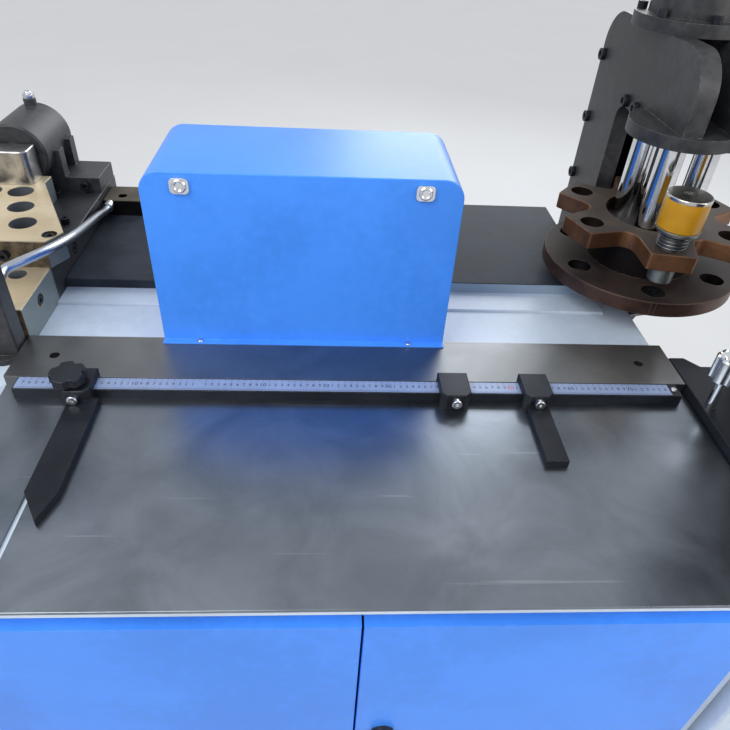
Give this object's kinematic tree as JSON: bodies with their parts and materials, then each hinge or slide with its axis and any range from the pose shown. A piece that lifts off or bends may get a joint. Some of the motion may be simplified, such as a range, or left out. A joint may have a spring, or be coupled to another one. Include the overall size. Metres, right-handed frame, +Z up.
{
  "type": "busbar processing machine",
  "caption": "Worktable machine that punches, shears and bends flat busbars: cabinet with blue hood, sliding-stop ruler, indexed punching turret, shear and horizontal bender.",
  "frame": {"origin": "on the floor, under the middle of the base frame", "axes": "+X to the operator's right along the worktable, +Y from the operator to the back, +Z up"},
  "size_m": [1.74, 1.12, 1.47],
  "materials": {
    "cabinet_paint": "semi-gloss off-white paint",
    "blue_paint": "semi-gloss bright blue paint",
    "black_paint": "satin black paint",
    "frame_paint": "dark grey paint",
    "grey_paint": "grey paint",
    "polished_sheet": "polished steel sheet with faint stains",
    "ground_steel": "ground steel with a brownish cast",
    "yellow_zinc": "yellow zinc plating on milled steel",
    "black_oxide": "black oxide",
    "brown_oxide": "dark reddish brown oxide",
    "turned_steel": "turned tool steel",
    "spring_steel": "spring steel",
    "chrome": "hard chrome",
    "zinc": "bright zinc",
    "elastic": "yellow-orange cast elastomer",
    "ruler_white": "white rule with black marks",
    "knob_plastic": "black moulded plastic",
    "red_plastic": "red push button",
    "green_plastic": "green push button",
    "conduit_metal": "ribbed metal cable guard",
    "tank_paint": "grey paint"
  },
  "bodies": {
    "machine": {"base_frame": "frame_paint", "levelling_feet": "zinc", "cabinet_shell": "cabinet_paint", "cabinet_deck": "cabinet_paint", "front_plate": "polished_sheet", "raised_plate": "ground_steel", "rear_plate": "black_oxide", "ruler_bar": "black_oxide", "ruler_strip": "ruler_white", "hood_cover": "blue_paint", "hood_latches": "chrome", "left_housing": "cabinet_paint", "bed_block": "yellow_zinc", "hole_plate": "yellow_zinc", "bend_cylinder": "black_paint", "gland_block": "brown_oxide", "cable_conduit": "conduit_metal", "conduit_glands": "zinc", "control_post": "black_paint", "control_box": "cabinet_paint", "right_housing": "cabinet_paint", "shear_bed": "black_oxide", "shear_frame": "black_paint", "lower_blade": "turned_steel", "shear_cylinder": "black_paint", "turret_hub": "brown_oxide", "hub_pillars": "chrome", "press_frame": "black_paint", "press_cylinder": "black_paint", "oil_tank": "tank_paint", "pump_motor": "grey_paint", "door_hinges": "zinc", "pan_screws": "zinc", "cap_screws": "black_oxide"},
    "turret": {"upper_disc": "brown_oxide", "lower_disc": "brown_oxide", "die_button": "turned_steel", "coil_spring": "spring_steel"},
    "punch_guide": {"punch_sleeve": "turned_steel", "punch_flange": "turned_steel", "punch_ring": "elastic"},
    "punch_core": {"punch_cap": "turned_steel", "punch_pin": "turned_steel"},
    "press_ram": {"press_ram": "chrome"},
    "index_plunger": {"index_plunger": "turned_steel"},
    "shear_slide": {"blade_slide": "ground_steel", "upper_blade": "turned_steel"},
    "hold_down": {"hold_down_screw": "chrome"},
    "bend_ram": {"bend_ram": "turned_steel"},
    "stop_left": {"stop_left": "black_oxide"},
    "stop_mid": {"stop_mid": "black_oxide"},
    "stop_right": {"stop_right": "black_oxide"},
    "stop_screw_left": {"stop_screw_left": "zinc"},
    "stop_screw_mid": {"stop_screw_mid": "zinc"},
    "stop_screw_right": {"stop_screw_right": "zinc"},
    "door_left": {"door_left": "blue_paint"},
    "door_right": {"door_right": "blue_paint"},
    "latch_handle": {"latch_handle": "knob_plastic"},
    "emergency_button": {"emergency_button": "red_plastic"},
    "start_button": {"start_button": "green_plastic"}
  },
  "joints": [
    {"name": "turret_turn", "type": "hinge", "parent": "machine", "child": "turret", "pos_m": [0.612, 0.187, 0.97], "axis": [0, 0, 1], "continuous": true},
    {"name": "punch_guide_slide", "type": "slide", "parent": "turret", "child": "punch_guide", "axis": [0, 0, -1], "range_m": [0, 0.018], "stiffness_N_per_m": 3000, "springref_m": -0.012, "deforming": ["coil_spring"]},
    {"name": "punch_core_slide", "type": "slide", "parent": "punch_guide", "child": "punch_core", "axis": [0, 0, -1], "range_m": [0, 0.014], "stiffness_N_per_m": 20000, "springref_m": -0.001, "deforming": ["punch_ring"]},
    {"name": "press_stroke", "type": "slide", "parent": "machine", "child": "press_ram", "axis": [0, 0, -1], "range_m": [0, 0.04]},
    {"name": "index_lock", "type": "slide", "parent": "machine", "child": "index_plunger", "axis": [0, 0, 1], "range_m": [0, 0.011]},
    {"name": "shear_stroke", "type": "slide", "parent": "machine", "child": "shear_slide", "axis": [0, 0, -1], "range_m": [0, 0.046]},
    {"name": "hold_down_turn", "type": "hinge", "parent": "machine", "child": "hold_down", "pos_m": [0.602, -0.203, 0.85], "axis": [0, 0, 1], "continuous": true},
    {"name": "bend_stroke", "type": "slide", "parent": "machine", "child": "bend_ram", "axis": [0, -1, 0], "range_m": [0, 0.12]},
    {"name": "stop_left_slide", "type": "slide", "parent": "machine", "child": "stop_left", "axis": [1, 0, 0], "range_m": [-0.03, 0.3]},
    {"name": "stop_screw_left_turn", "type": "hinge", "parent": "stop_left", "child": "stop_screw_left", "pos_m": [-0.4, -0.1923, 0.85147], "axis": [0, -1, 0], "range_deg": [0, 180]},
    {"name": "stop_mid_slide", "type": "slide", "parent": "machine", "child": "stop_mid", "axis": [1, 0, 0], "range_m": [-0.2, 0.04]},
    {"name": "stop_screw_mid_turn", "type": "hinge", "parent": "stop_mid", "child": "stop_screw_mid", "pos_m": [0.187, -0.1923, 0.85147], "axis": [0, -1, 0], "range_deg": [0, 180]},
    {"name": "stop_right_slide", "type": "slide", "parent": "machine", "child": "stop_right", "axis": [1, 0, 0], "range_m": [-0.04, 0.2]},
    {"name": "stop_screw_right_turn", "type": "hinge", "parent": "stop_right", "child": "stop_screw_right", "pos_m": [0.32, -0.1923, 0.85147], "axis": [0, -1, 0], "range_deg": [0, 180]},
    {"name": "door_left_swing", "type": "hinge", "parent": "machine", "child": "door_left", "pos_m": [-0.488, -0.5346, 0.4775], "axis": [0, 0, -1], "range_deg": [0, 110]},
    {"name": "door_right_swing", "type": "hinge", "parent": "machine", "child": "door_right", "pos_m": [0.548, -0.5346, 0.4775], "axis": [0, 0, 1], "range_deg": [0, 110]},
    {"name": "latch_turn", "type": "hinge", "parent": "door_right", "child": "latch_handle", "pos_m": [0.072, -0.5436, 0.5], "axis": [0, -1, 0], "range_deg": [0, 90]},
    {"name": "emergency_press", "type": "slide", "parent": "machine", "child": "emergency_button", "axis": [0, 0.9635, -0.2676], "range_m": [0, 0.004], "stiffness_N_per_m": 800, "springref_m": -0.002},
    {"name": "start_press", "type": "slide", "parent": "machine", "child": "start_button", "axis": [0, 0.9635, -0.2676], "range_m": [0, 0.004], "stiffness_N_per_m": 600, "springref_m": -0.002}
  ]
}
